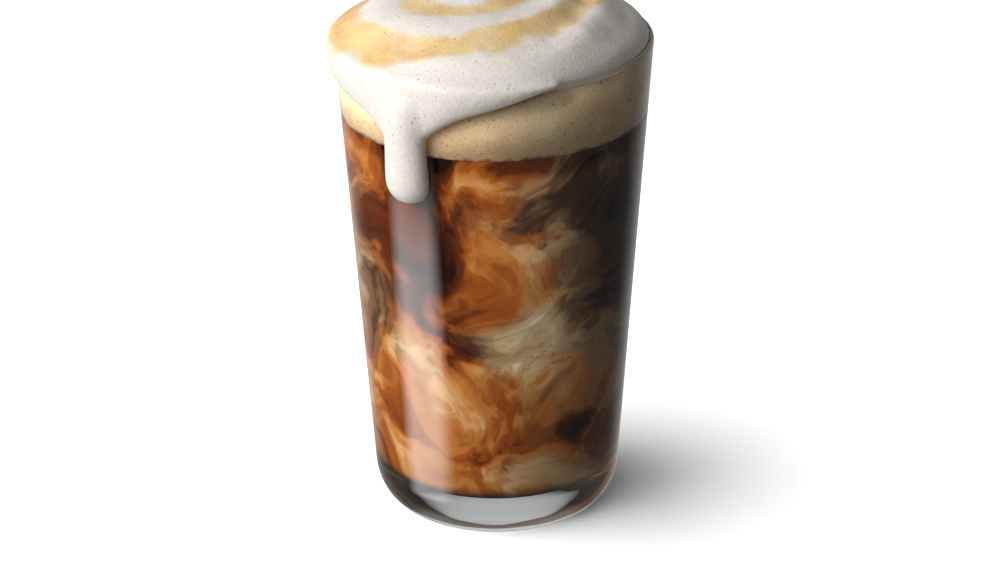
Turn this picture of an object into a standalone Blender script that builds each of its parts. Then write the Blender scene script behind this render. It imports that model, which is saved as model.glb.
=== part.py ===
"""A tall glass of iced cappuccino: a thick-based tumbler, milky coffee, a band of fine foam
and a domed cap of milk foam that spills over the rim and runs down the wall in one drip.

Metres, +Z up. The origin is the middle of the glass's foot, on the table. -Y is the front.
"""

import math

import bpy
import bmesh
from mathutils import Vector, noise

# The glass.
GLASS_HEIGHT = 0.135
RIM_RADIUS = 0.0425
CONE_FOOT_RADIUS = 0.0333  # what the straight wall would reach at the table
WALL_AT_RIM = 0.0019
WALL_AT_FLOOR = 0.0030
HEEL_HEIGHT = 0.0125
FOOT_RADIUS = 0.0265  # outer edge of the flat face that it stands on
FLOOR_HEIGHT = 0.0118
FLOOR_FILLET = 0.0050

# The drink and the band of fine foam on it.
COFFEE_LEVEL = 0.1145
FOAM_BAND_TOP = 0.1330
GAP = 0.0003

# The foam cap. Angles are measured round the glass from the front, towards the right.
DOME_HEIGHT = 0.0120
DOME_EDGE_INSET = 0.0012
DOME_BELOW_RIM = 0.0005  # where the mound's widest ring lies
PLUG_DEPTH = 0.0030  # how far the mound reaches into the band, before it is trimmed
PLUG_INSET = 0.0004
SWELL_DEPTH = 0.0009
SWELLS_PER_M = (70, 110)  # left to right and front to back
SWELL_FADE = 0.0060  # height above the rim where the swells are full
SPILL_STEPS = 88
SPILL_FADE_STEPS = 16  # over which the apron grows to its full thickness
SPILL_THICKNESS = 0.0030
SPILL_START_DEG = 24
SPILL_END_DEG = -196
SPILL_START_TAPER = 0.20  # shares of the apron's length
SPILL_END_TAPER = 0.30
SPILL_LEAST_DEPTH = 0.0004
SPILL_DEPTH = 0.0076
SPILL_EXTRA_AT_DRIP = 0.0095
SPILL_EXTRA_SPREAD_DEG = 14
SPILL_WAVE = 0.0008
SPILL_WAVES_ROUND = 5
SPILL_INSIDE_RIM = 0.0050
SPILL_ABOVE_RIM = 0.0032
SPILL_SUNK = 0.0010  # into the wall, which is cut out of it afterwards
SPILL_SUNK_AT_EDGE = 0.0016
DRIP_DEG = -33.5
DRIP_TOP = 0.1310
DRIP_FOOT = 0.1062
DRIP_NECK_RADIUS = 0.0064
DRIP_BEAD_RADIUS = 0.0074
DRIP_FLATNESS = 0.66
DRIP_STEPS = 26
DRIP_OFF_WALL = 0.0002
DRIP_FLARE = 0.0030  # wider at its top, where it leaves the apron
DRIP_FLARE_SHARE = 0.40
DRIP_SUNK = 0.0040  # its top end is hidden in the apron
DRIP_SUNK_SHARE = 0.25
SLUMP_ROUNDS = 7

SEGMENTS = 64
CAP_VOXEL = 0.0011
CAP_TRIANGLES_KEPT = 0.16
CUTTERS_LOW = 0.080  # well below the drip

COLOURS = {
    "glass": ((0.90, 0.93, 0.92), 0.03),
    "coffee": ((0.30, 0.12, 0.04), 0.15),
    "foam_band": ((0.72, 0.55, 0.36), 0.55),
    "foam_cap": ((0.90, 0.85, 0.76), 0.60),
}


def clear_scene():
    for obj in list(bpy.data.objects):
        bpy.data.objects.remove(obj)


def new_collection(name):
    collection = bpy.data.collections.new(name)
    bpy.context.scene.collection.children.link(collection)
    return collection


def material(name):
    colour, roughness = COLOURS[name]
    made = bpy.data.materials.new(name)
    made.use_nodes = True
    shader = made.node_tree.nodes["Principled BSDF"]
    shader.inputs["Base Color"].default_value = (*colour, 1.0)
    shader.inputs["Roughness"].default_value = roughness
    return made


def outer_radius(z):
    """Radius of the straight outer wall at height z, ignoring the rounded heel."""
    return CONE_FOOT_RADIUS + (RIM_RADIUS - CONE_FOOT_RADIUS) * z / GLASS_HEIGHT


def inner_radius(z):
    """Radius of the inner wall. The wall thickens from the rim to the floor."""
    share = (z - FLOOR_HEIGHT) / (GLASS_HEIGHT - FLOOR_HEIGHT)
    wall = WALL_AT_FLOOR + (WALL_AT_RIM - WALL_AT_FLOOR) * share
    return outer_radius(z) - wall


def arc(centre, radii, start_deg, end_deg, steps):
    """Points (r, z) of an elliptical arc, both ends included."""
    points = []
    for i in range(steps + 1):
        a = math.radians(start_deg + (end_deg - start_deg) * i / steps)
        points.append((centre[0] + radii[0] * math.cos(a), centre[1] + radii[1] * math.sin(a)))
    return points


def turned(name, profile, collection):
    """A solid of revolution from a closed outline, outer side first, that has no edge along the axis."""
    count = len(profile)
    edges = [(i, (i + 1) % count) for i in range(count)]
    edges = [(i, j) for i, j in edges if profile[i][0] > 0 or profile[j][0] > 0]
    mesh = bpy.data.meshes.new(name)
    mesh.from_pydata([(r, 0, z) for r, z in profile], edges, [])
    obj = bpy.data.objects.new(name, mesh)
    collection.objects.link(obj)
    screw = obj.modifiers.new("Turn", "SCREW")
    screw.steps = screw.render_steps = SEGMENTS
    screw.use_merge_vertices = True
    screw.merge_threshold = 0.00001
    screw.use_smooth_shade = True
    return obj


def inner_profile(gap, top):
    """The cavity's wall and floor moved in by gap, from height top down to the axis."""
    corner_r = inner_radius(FLOOR_HEIGHT + FLOOR_FILLET) - gap
    floor = FLOOR_HEIGHT + gap
    fillet = FLOOR_FILLET - gap
    points = [(inner_radius(top) - gap, top)]
    points += arc((corner_r - fillet, floor + fillet), (fillet, fillet), 0, -90, 5)
    return points + [(0, floor)]


def build_glass(collection):
    """Straight flared wall, rounded rim, rounded heel and a thick flat base."""
    lip = WALL_AT_RIM / 2
    rim = arc((RIM_RADIUS - lip, GLASS_HEIGHT - lip), (lip, lip), 90, 0, 3)
    heel_r = outer_radius(HEEL_HEIGHT)
    heel = arc((FOOT_RADIUS, HEEL_HEIGHT), (heel_r - FOOT_RADIUS, HEEL_HEIGHT), 0, -90, 8)
    foot = [(0, 0)]
    inner_rim = arc((RIM_RADIUS - lip, GLASS_HEIGHT - lip), (lip, lip), 90, 180, 3)
    cavity = inner_profile(0, GLASS_HEIGHT - 2 * lip)
    inside = list(reversed(inner_rim[1:] + cavity[1:]))
    return turned("glass", rim + heel + foot + inside, collection)


def solid_between(name, low, high, collection):
    """What fills the cavity from height low to height high, GAP clear of the wall."""
    top = [(0, high), (inner_radius(high) - GAP, high)]
    if low is None:
        return turned(name, top + inner_profile(GAP, high)[1:], collection)
    return turned(name, top + [(inner_radius(low) - GAP, low), (0, low)], collection)


def place(angle_deg, r, z):
    """Point at an angle round the glass from the front, towards the right."""
    a = math.radians(angle_deg)
    return Vector((r * math.sin(a), -r * math.cos(a), z))


def spill_depth(angle_deg):
    """How far below the rim the spilt foam hangs on the outer wall, in metres."""
    share = (angle_deg - SPILL_START_DEG) / (SPILL_END_DEG - SPILL_START_DEG)
    ends = min(1.0, share / SPILL_START_TAPER, (1 - share) / SPILL_END_TAPER)
    near_drip = math.exp(-(((angle_deg - DRIP_DEG) / SPILL_EXTRA_SPREAD_DEG) ** 2))
    wave = SPILL_WAVE * math.sin(math.radians(angle_deg * SPILL_WAVES_ROUND))
    edge = SPILL_DEPTH + SPILL_EXTRA_AT_DRIP * near_drip + wave
    return SPILL_LEAST_DEPTH + edge * ends * ends * (3 - 2 * ends)


def build_spill(collection):
    """The apron of foam over the rim: a loft of sections, each as deep as the foam runs there."""
    bm = bmesh.new()
    rings = []
    for i in range(SPILL_STEPS + 1):
        angle = SPILL_START_DEG + (SPILL_END_DEG - SPILL_START_DEG) * i / SPILL_STEPS
        depth = spill_depth(angle)
        fade = min(1.0, i / SPILL_FADE_STEPS, (SPILL_STEPS - i) / SPILL_FADE_STEPS)
        thick = SPILL_THICKNESS * (0.25 + 0.75 * math.sqrt(fade))
        low_z = GLASS_HEIGHT - depth
        wall = outer_radius(low_z)
        section = [
            (RIM_RADIUS - SPILL_INSIDE_RIM, GLASS_HEIGHT - SPILL_SUNK),
            (RIM_RADIUS - SPILL_INSIDE_RIM, GLASS_HEIGHT + SPILL_ABOVE_RIM),
            (RIM_RADIUS - SPILL_SUNK, GLASS_HEIGHT + 0.8 * thick),
            (RIM_RADIUS + 0.75 * thick, GLASS_HEIGHT + 0.1 * thick),
            (outer_radius(GLASS_HEIGHT - depth / 2) + thick, GLASS_HEIGHT - depth / 2),
            (wall + 0.75 * thick, low_z - 0.2 * thick),
            (wall - SPILL_SUNK, low_z - 0.6 * thick),
            (wall - SPILL_SUNK_AT_EDGE, low_z),
        ]
        rings.append([bm.verts.new(place(angle, r, z)) for r, z in section])
    for a, b in zip(rings, rings[1:]):
        for k in range(len(a)):
            bm.faces.new((a[k], a[(k + 1) % len(a)], b[(k + 1) % len(a)], b[k]))
    bm.faces.new(rings[0])
    bm.faces.new(reversed(rings[-1]))
    bmesh.ops.recalc_face_normals(bm, faces=bm.faces)
    return finish_mesh("spill", bm, collection)


def finish_mesh(name, bm, collection):
    mesh = bpy.data.meshes.new(name)
    bm.to_mesh(mesh)
    bm.free()
    obj = bpy.data.objects.new(name, mesh)
    collection.objects.link(obj)
    return obj


def build_drip(collection):
    """The run of foam down the wall: a tube that narrows to a neck and ends in a fuller bead."""
    curve = bpy.data.curves.new("drip", "CURVE")
    curve.dimensions = "3D"
    curve.bevel_depth = 1.0
    curve.bevel_resolution = 6
    curve.use_fill_caps = True
    spline = curve.splines.new("POLY")
    tip_z = DRIP_FOOT - 0.9 * DRIP_BEAD_RADIUS
    spline.points.add(DRIP_STEPS)
    for i, point in enumerate(spline.points):
        share = i / DRIP_STEPS
        z = DRIP_TOP + (tip_z - DRIP_TOP) * share
        full = DRIP_NECK_RADIUS + (DRIP_BEAD_RADIUS - DRIP_NECK_RADIUS) * share**2
        above_foot = max(0.0, (z - tip_z) / DRIP_BEAD_RADIUS)
        tip = math.sqrt(max(0.004, 1 - max(0.0, 1 - above_foot) ** 2))
        flare = DRIP_FLARE * max(0.0, 1 - share / DRIP_FLARE_SHARE) ** 2
        sunk = DRIP_SUNK * max(0.0, 1 - share / DRIP_SUNK_SHARE) ** 2
        point.co = (*place(DRIP_DEG, outer_radius(z) + DRIP_OFF_WALL - sunk, z), 1)
        point.radius = (full + flare) * tip
    drip = bpy.data.objects.new("drip_curve", curve)
    collection.objects.link(drip)
    bpy.context.view_layer.update()
    graph = bpy.context.evaluated_depsgraph_get()
    mesh = bpy.data.meshes.new_from_object(drip.evaluated_get(graph))
    bpy.data.objects.remove(drip)
    bm = bmesh.new()
    bm.from_mesh(mesh)
    bmesh.ops.remove_doubles(bm, verts=bm.verts, dist=0.00001)
    flatten_against_wall(bm)
    bmesh.ops.recalc_face_normals(bm, faces=bm.faces)
    return finish_mesh("drip", bm, collection)


def flatten_against_wall(bm):
    """Squeezes the drip along the wall's outward direction, so that it is wider than it is thick."""
    outward = place(DRIP_DEG, 1, 0)
    for vert in bm.verts:
        beyond = vert.co.dot(outward) - outer_radius(vert.co.z)
        vert.co -= outward * beyond * (1 - DRIP_FLATNESS)


def build_dome(collection):
    """The mound that fills the glass's mouth, an ellipsoid above the rim and a plug below it."""
    edge = RIM_RADIUS - DOME_EDGE_INSET
    profile = [(0, GLASS_HEIGHT + DOME_HEIGHT)]
    widest = GLASS_HEIGHT - DOME_BELOW_RIM
    plug = FOAM_BAND_TOP - PLUG_DEPTH
    profile += arc((0, widest), (edge, DOME_HEIGHT + DOME_BELOW_RIM), 84, 0, 18)
    profile += [(edge - PLUG_INSET, plug), (0, plug)]
    return turned("dome", profile, collection)


def joined(name, pieces, collection):
    """One closed mesh from several that overlap, by a Boolean union that is applied."""
    parts = new_collection(name + "_parts")
    base = pieces[0]
    for piece in pieces[1:]:
        for owner in list(piece.users_collection):
            owner.objects.unlink(piece)
        parts.objects.link(piece)
    union = base.modifiers.new("Join", "BOOLEAN")
    union.operand_type = "COLLECTION"
    union.operation = "UNION"
    union.collection = parts
    bpy.context.view_layer.update()
    graph = bpy.context.evaluated_depsgraph_get()
    mesh = bpy.data.meshes.new_from_object(base.evaluated_get(graph))
    for piece in pieces:
        bpy.data.objects.remove(piece)
    bpy.data.collections.remove(parts)
    mesh.name = name
    obj = bpy.data.objects.new(name, mesh)
    collection.objects.link(obj)
    return obj


def swell(obj):
    """Gives the mound its uneven, ladled surface: low broad swells that fade out below the rim."""
    for vert in obj.data.vertices:
        above = max(0.0, min(1.0, (vert.co.z - GLASS_HEIGHT) / SWELL_FADE))
        broad = noise.noise(Vector((vert.co.x * SWELLS_PER_M[0], vert.co.y * SWELLS_PER_M[1], 3.7)))
        vert.co.z += SWELL_DEPTH * broad * above


def build_cap(collection, cutters):
    """Mound, spill and drip grown into one piece, smoothed like wet foam, then fitted to the glass."""
    pieces = [build_dome(collection), build_spill(collection), build_drip(collection)]
    cap = joined("foam_cap", pieces, collection)
    remesh = cap.modifiers.new("Grow together", "REMESH")
    remesh.mode = "VOXEL"
    remesh.voxel_size = CAP_VOXEL
    smooth = cap.modifiers.new("Slump", "SMOOTH")
    smooth.factor = 0.5
    smooth.iterations = SLUMP_ROUNDS
    lighter = cap.modifiers.new("Fewer faces", "DECIMATE")
    lighter.ratio = CAP_TRIANGLES_KEPT
    bpy.context.view_layer.update()
    graph = bpy.context.evaluated_depsgraph_get()
    mesh = bpy.data.meshes.new_from_object(cap.evaluated_get(graph))
    cap.modifiers.clear()
    cap.data = mesh
    swell(cap)
    for cutter in (build_wall_cutter(cutters), build_band_cutter(cutters)):
        cut = cap.modifiers.new("Clear of " + cutter.name, "BOOLEAN")
        cut.operation = "DIFFERENCE"
        cut.solver = "EXACT"
        cut.object = cutter
    return cap


def build_wall_cutter(cutters):
    """The glass's wall grown by GAP on every side, closed below, which trims the foam cap."""
    lip = WALL_AT_RIM / 2
    low = CUTTERS_LOW
    grown = lip + GAP
    profile = arc((RIM_RADIUS - lip, GLASS_HEIGHT - lip), (grown, grown), 90, 0, 6)
    profile += [(outer_radius(low) + GAP, low), (inner_radius(low) - GAP, low)]
    profile += arc((RIM_RADIUS - lip, GLASS_HEIGHT - lip), (grown, grown), 180, 90, 6)[:-1]
    return helper(turned("cutter_wall", profile, cutters))


def build_band_cutter(cutters):
    """Clears everything inside the glass up to just above the band of fine foam."""
    top = FOAM_BAND_TOP + GAP
    wide = RIM_RADIUS - WALL_AT_RIM / 2
    narrow = outer_radius(CUTTERS_LOW) - WALL_AT_RIM / 2
    profile = [(0, top), (wide, top), (narrow, CUTTERS_LOW), (0, CUTTERS_LOW)]
    return helper(turned("cutter_band", profile, cutters))


def helper(obj):
    obj.hide_render = True
    obj.display_type = "WIRE"
    return obj


def main():
    clear_scene()
    drink = new_collection("iced_cappuccino")
    cutters = new_collection("cutters")
    pieces = [
        build_glass(drink),
        solid_between("coffee", None, COFFEE_LEVEL, drink),
        solid_between("foam_band", COFFEE_LEVEL + GAP, FOAM_BAND_TOP, drink),
        build_cap(drink, cutters),
    ]
    for piece in pieces:
        piece.data.materials.clear()
        piece.data.materials.append(material(piece.name))


main()
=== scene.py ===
# %% [markdown]
# A tall glass of iced cappuccino, dressed for the camera.
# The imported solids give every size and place. This script makes finer pieces over them: clear
# glass, coffee with milk swirled into it, a band of fine foam and the foam cap with its drip.

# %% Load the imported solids
import math

import bmesh
import bpy
from mathutils import Matrix, Vector, noise


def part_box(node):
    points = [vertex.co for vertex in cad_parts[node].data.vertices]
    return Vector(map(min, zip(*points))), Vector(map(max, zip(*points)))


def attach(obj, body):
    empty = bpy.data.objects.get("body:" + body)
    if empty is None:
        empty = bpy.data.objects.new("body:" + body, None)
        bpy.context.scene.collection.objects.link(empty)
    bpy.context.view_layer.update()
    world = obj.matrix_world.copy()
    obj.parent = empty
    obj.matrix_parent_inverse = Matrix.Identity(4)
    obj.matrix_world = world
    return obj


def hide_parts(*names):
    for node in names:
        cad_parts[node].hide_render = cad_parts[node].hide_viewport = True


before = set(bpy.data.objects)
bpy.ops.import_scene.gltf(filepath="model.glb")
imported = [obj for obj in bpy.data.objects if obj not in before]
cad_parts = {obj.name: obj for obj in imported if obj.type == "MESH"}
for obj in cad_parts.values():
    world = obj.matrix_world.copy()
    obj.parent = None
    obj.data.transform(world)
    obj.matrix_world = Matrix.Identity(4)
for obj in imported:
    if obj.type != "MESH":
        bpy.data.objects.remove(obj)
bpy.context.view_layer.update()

# %% [markdown]
# Everything round is worked out from a few sizes. The glass's height and rim come from its packed
# solid, and the rest repeat the solid's own wall, heel and floor, so the finer pieces fit it.

# %% Sizes in metres
MM = 0.001
_, glass_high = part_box("glass")
HEIGHT = glass_high.z
RIM_RADIUS = glass_high.x
CONE_FOOT_RADIUS = 33.3 * MM  # where the straight wall, carried on down, would meet the table
WALL_AT_RIM = 1.9 * MM
WALL_AT_FLOOR = 3.0 * MM
HEEL_HEIGHT = 12.5 * MM
FOOT_RADIUS = 26.5 * MM
FLOOR_HEIGHT = 11.8 * MM
FLOOR_FILLET = 5.0 * MM
COFFEE_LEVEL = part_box("coffee")[1].z
BAND_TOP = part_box("foam_band")[1].z
print("glass", round(HEIGHT / MM, 1), "mm tall, coffee to", round(COFFEE_LEVEL / MM, 1), "mm")


def outer_radius(z):
    return CONE_FOOT_RADIUS + (RIM_RADIUS - CONE_FOOT_RADIUS) * z / HEIGHT


def inner_radius(z):
    share = (z - FLOOR_HEIGHT) / (HEIGHT - FLOOR_HEIGHT)
    return outer_radius(z) - WALL_AT_FLOOR - (WALL_AT_RIM - WALL_AT_FLOOR) * share


def place(angle_deg, r, z):
    """A point at this angle from the front, towards the right, and this far from the axis."""
    a = math.radians(angle_deg)
    return Vector((r * math.sin(a), -r * math.cos(a), z))


# %% [markdown]
# The photograph looks down at the glass through a long lens. The camera stands where the rim's
# and the foot's ellipses come out as flat as they do there. The half degree of roll is the
# photograph's own.

# %% Camera
LENS_MM = 108.0
SENSOR_MM = 36.0
DISTANCE = 0.8226
ELEVATION_DEG = 24.0
ROLL_DEG = -0.45
AIM_PIXEL = (495.6, 266.3)
PHOTO_SIZE = (1000, 562)

camera = bpy.data.objects.new("camera", bpy.data.cameras.new("camera"))
bpy.context.scene.collection.objects.link(camera)
bpy.context.scene.camera = camera
camera.data.lens = LENS_MM
camera.data.sensor_width = SENSOR_MM
camera.data.shift_x = (PHOTO_SIZE[0] / 2 - AIM_PIXEL[0]) / PHOTO_SIZE[0]
camera.data.shift_y = (AIM_PIXEL[1] - PHOTO_SIZE[1] / 2) / PHOTO_SIZE[0]
elevation = math.radians(ELEVATION_DEG)
aim = Vector((0, 0, HEIGHT / 2))
camera.location = aim + DISTANCE * Vector((0, -math.cos(elevation), math.sin(elevation)))
tilt = Matrix.Rotation(math.pi / 2 - elevation, 3, "X") @ Matrix.Rotation(math.radians(ROLL_DEG), 3, "Z")
camera.rotation_euler = tilt.to_euler()
print("camera at", tuple(round(c, 3) for c in camera.location))

# %% [markdown]
# Colours are written as the hex values that a picture shows, and one function turns them to the
# linear numbers that a shader wants. Another adds a node with its settings and links, so that a
# material reads as a list of steps.

# %% Colour and node helpers


def linear(hex_colour):
    channels = [int(hex_colour[i : i + 2], 16) / 255 for i in (1, 3, 5)]
    return tuple(c / 12.92 if c <= 0.04045 else ((c + 0.055) / 1.055) ** 2.4 for c in channels) + (1.0,)


def add(tree, kind, inputs=None, **settings):
    """A new node. An input is either another node's output, which is linked, or a plain value."""
    node = tree.nodes.new(kind)
    for name, value in settings.items():
        setattr(node, name, value)
    for name, value in (inputs or {}).items():
        if isinstance(value, bpy.types.NodeSocket):
            tree.links.new(value, node.inputs[name])
        else:
            node.inputs[name].default_value = value
    return node


def new_material(name):
    """A material with one Principled shader, and the place on the object that its patterns use."""
    made = bpy.data.materials.new(name)
    made.use_nodes = True
    tree = made.node_tree
    tree.nodes.clear()
    shader = add(tree, "ShaderNodeBsdfPrincipled")
    add(tree, "ShaderNodeOutputMaterial", {"Surface": shader.outputs[0]})
    place_of = add(tree, "ShaderNodeTexCoord").outputs["Object"]
    return made, tree, shader, place_of


def per_mm(size_mm):
    """A noise texture's scale, per metre, for features of that many millimetres."""
    return 1.0 / (size_mm * MM)


print("a mid grey of #808080 is", round(linear("#808080")[0], 3), "in linear light")

# %% [markdown]
# The tumbler is soda-lime glass, pressed in a mould and then fire-polished. A flame melts the
# surface smooth, so there is no roughness at all, only the mould's long waves, which make
# reflections swim a little. It is faintly green where it is thick, and light bends by 1.52 in it.
# The base is a thick clear slug that cooled slowly, so the waves in its heel are deeper. Bump
# draws both, because they are far shallower than the mesh could show.

# %% Glass material
GLASS_TINT = "#f4f8f6"
WALL_WAVE_MM = 14
WALL_WAVE_DEPTH = 0.4 * MM
WALL_WAVE_STRENGTH = 0.12
HEEL_WAVE_MM = 9
HEEL_WAVE_DEPTH = 1.0 * MM
HEEL_WAVE_STRENGTH = 0.25
HEEL_WAVES_FULL_BELOW = 7 * MM

glass_finish, tree, shader, where = new_material("fire_polished_soda_lime_glass")
mould_waves = add(tree, "ShaderNodeTexNoise", {"Vector": where, "Scale": per_mm(WALL_WAVE_MM), "Detail": 1.0})
wall_bump = add(
    tree,
    "ShaderNodeBump",
    {"Height": mould_waves.outputs[0], "Strength": WALL_WAVE_STRENGTH, "Distance": WALL_WAVE_DEPTH},
)
glass_axes = add(tree, "ShaderNodeSeparateXYZ", {0: where})
in_heel = add(
    tree,
    "ShaderNodeMapRange",
    {
        "Value": glass_axes.outputs["Z"],
        "From Min": HEEL_HEIGHT,
        "From Max": HEEL_WAVES_FULL_BELOW,
        "To Max": HEEL_WAVE_STRENGTH,
    },
)
press_waves = add(tree, "ShaderNodeTexNoise", {"Vector": where, "Scale": per_mm(HEEL_WAVE_MM), "Detail": 0.0})
heel_bump = add(
    tree,
    "ShaderNodeBump",
    {
        "Height": press_waves.outputs[0],
        "Strength": in_heel.outputs[0],
        "Distance": HEEL_WAVE_DEPTH,
        "Normal": wall_bump.outputs[0],
    },
)
tree.links.new(heel_bump.outputs[0], shader.inputs["Normal"])
shader.inputs["Base Color"].default_value = linear(GLASS_TINT)
shader.inputs["Roughness"].default_value = 0.0
shader.inputs["IOR"].default_value = 1.52
shader.inputs["Transmission Weight"].default_value = 1.0
print("glass material has", len(tree.nodes), "nodes")

# %% [markdown]
# A turned piece is an outline swept round the axis. Blender's Screw modifier would do it, but
# building the rings of faces in one loop keeps every point where the outline says, with a single
# point where the outline meets the axis.

# %% Turned pieces
SEGMENTS = 160
ON_AXIS = 1e-6


def arc(centre, radii, start_deg, end_deg, steps):
    points = []
    for i in range(steps + 1):
        a = math.radians(start_deg + (end_deg - start_deg) * i / steps)
        points.append((centre[0] + radii[0] * math.cos(a), centre[1] + radii[1] * math.sin(a)))
    return points


def finish_mesh(name, bm, finish=None):
    bmesh.ops.recalc_face_normals(bm, faces=bm.faces)
    mesh = bpy.data.meshes.new(name)
    bm.to_mesh(mesh)
    bm.free()
    mesh.shade_smooth()
    obj = bpy.data.objects.new(name, mesh)
    bpy.context.scene.collection.objects.link(obj)
    if finish:
        obj.data.materials.append(finish)
    return obj


def turned(name, outline, finish=None):
    bm = bmesh.new()
    rings = []
    for r, z in outline:
        if r < ON_AXIS:
            rings.append([bm.verts.new((0, 0, z))] * SEGMENTS)
        else:
            rings.append([bm.verts.new(place(360 * k / SEGMENTS, r, z)) for k in range(SEGMENTS)])
    for i, ring in enumerate(rings):
        after = rings[(i + 1) % len(rings)]
        if ring[0] is ring[1] and after[0] is after[1]:
            continue
        for k in range(SEGMENTS):
            corners = [ring[k], ring[(k + 1) % SEGMENTS], after[(k + 1) % SEGMENTS], after[k]]
            bm.faces.new(list(dict.fromkeys(corners)))
    return finish_mesh(name, bm, finish)


print("turned pieces have", SEGMENTS, "sides, each", round(2 * math.pi * RIM_RADIUS / SEGMENTS / MM, 2), "mm")

# %% [markdown]
# The glass is one closed outline: round the lip, down the outside, round the heel, across the
# foot, and back up through the cavity. The coffee is cut from the same cavity, so one function
# gives both. The glass casts no shadow. A path tracer has no quick way to send lamp light through
# clear glass, and what it holds would go dark.

# %% Glass
ROUND_STEPS = 14
HEEL_STEPS = 24


def cavity(outward, top):
    """The cavity's wall, corner and floor, moved outward, from height top down to the axis."""
    corner = inner_radius(FLOOR_HEIGHT + FLOOR_FILLET) + outward
    fillet = FLOOR_FILLET + outward
    floor = FLOOR_HEIGHT - outward
    wall = [(inner_radius(top) + outward, top)]
    return wall + arc((corner - fillet, floor + fillet), (fillet, fillet), 0, -90, ROUND_STEPS) + [(0, floor)]


lip = WALL_AT_RIM / 2
lip_centre = (RIM_RADIUS - lip, HEIGHT - lip)
heel_width = outer_radius(HEEL_HEIGHT) - FOOT_RADIUS
glass_outline = arc(lip_centre, (lip, lip), 180, 0, ROUND_STEPS)
glass_outline += arc((FOOT_RADIUS, HEEL_HEIGHT), (heel_width, HEEL_HEIGHT), 0, -90, HEEL_STEPS) + [(0, 0)]
glass_outline += list(reversed(cavity(0, HEIGHT - lip)[1:]))
tumbler = turned("tumbler", glass_outline, glass_finish)
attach(tumbler, "root")
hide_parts("glass")
tumbler.visible_shadow = False
print("tumbler faces", len(tumbler.data.polygons))

# %% [markdown]
# Coffee and milk are both cloudy, so what the wall shows is a skin of colour, from black coffee
# through amber to cream, folded over and over as the milk sank. A fluid simulation would give
# such folds, but slowly. Here a noise's place is pushed about by another noise, three times, from
# broad billows down to wisps, which draws the same kind of curl at once.

# %% Coffee: folded places
coffee_finish, tree, shader, where = new_material("milk_swirled_coffee")


def pushed_about(place_socket, size_mm, push_mm, detail):
    """The place, moved by a noise of this size, up to about a quarter of push_mm each way."""
    wind = add(
        tree, "ShaderNodeTexNoise", {"Vector": place_socket, "Scale": per_mm(size_mm), "Detail": detail}
    )
    centred = add(
        tree, "ShaderNodeVectorMath", {0: wind.outputs["Color"], 1: (0.5, 0.5, 0.5)}, operation="SUBTRACT"
    )
    moved = add(
        tree,
        "ShaderNodeVectorMath",
        {0: centred.outputs[0], 1: (push_mm * MM,) * 3, 2: place_socket},
        operation="MULTIPLY_ADD",
    )
    return moved.outputs[0]


billows = pushed_about(where, size_mm=30, push_mm=62, detail=1.0)
folds = pushed_about(billows, size_mm=12, push_mm=30, detail=2.0)
wisps = pushed_about(folds, size_mm=5, push_mm=6, detail=1.0)
masses_at = pushed_about(where, size_mm=13, push_mm=20, detail=2.0)
print("places folded with", len(tree.nodes), "nodes")

# %% [markdown]
# Broad masses give the swirl its order. The dark coffee stays at the upper right and in a line
# under the foam, a ball of cream hangs in the middle, rust threads lie left of it, and the
# bottom is tan with one amber stream and a few dark strands. Each mass is a soft ball that
# raises or lowers the level, which runs from coffee at 0 to milk at 1.

# %% Coffee: light and dark masses
SWIRL_MM = 26
DARK_LINE_DEPTH = 7 * MM
PALER_BELOW = 66 * MM
PALEST_BELOW = 18 * MM
CREAM_BALL = (7, -36, 60)
MASSES = (
    # centre in mm, radius in mm, amount
    ((28, -24, 84), 34, -0.11),  # black coffee, upper right
    ((9, -37, 88), 20, 0.06),  # mauve billow under the foam
    (CREAM_BALL, 14, 0.24),
    ((-30, -20, 88), 34, -0.09),  # brown coffee, upper left
    ((-8, -36, 70), 22, -0.13),  # rust threads
    ((26, -24, 48), 24, 0.12),  # pale stream, right
    ((22, -27, 31), 8, -0.18),  # dark strands
    ((2, -35, 30), 12, -0.04),  # amber stream
)


def blob(centre_mm, radius_mm, place_socket):
    """One near a place on the wall, fading to zero at this radius."""
    centre = tuple(c * MM for c in centre_mm)
    away = add(tree, "ShaderNodeVectorMath", {0: place_socket, 1: centre}, operation="DISTANCE")
    fade = add(
        tree,
        "ShaderNodeMapRange",
        {"Value": away.outputs["Value"], "From Min": radius_mm * MM, "From Max": 0.25 * radius_mm * MM},
        interpolation_type="SMOOTHSTEP",
    )
    return fade.outputs[0]


def raised(level, masks):
    """The level with each mask added to it, in its own amount."""
    for mask, amount in masks:
        step = add(tree, "ShaderNodeMath", {0: mask, 1: amount, 2: level}, operation="MULTIPLY_ADD")
        level = step.outputs[0]
    return level


milk = add(
    tree,
    "ShaderNodeTexNoise",
    {"Vector": wisps, "Scale": per_mm(SWIRL_MM), "Detail": 3.0, "Roughness": 0.42},
)
axes = add(tree, "ShaderNodeSeparateXYZ", {0: where})
under_foam = add(
    tree,
    "ShaderNodeMapRange",
    {
        "Value": axes.outputs["Z"],
        "From Min": COFFEE_LEVEL - DARK_LINE_DEPTH,
        "From Max": COFFEE_LEVEL - 1 * MM,
    },
    interpolation_type="SMOOTHSTEP",
)
low_down = add(
    tree,
    "ShaderNodeMapRange",
    {"Value": axes.outputs["Z"], "From Min": PALER_BELOW, "From Max": PALEST_BELOW},
    interpolation_type="SMOOTHSTEP",
)
masses = [(blob(centre, radius, masses_at), amount) for centre, radius, amount in MASSES]
level = raised(milk.outputs[0], masses)
level = raised(level, [(under_foam.outputs[0], -0.16), (low_down.outputs[0], 0.06)])
print(len(MASSES), "masses placed in the swirl")
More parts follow.
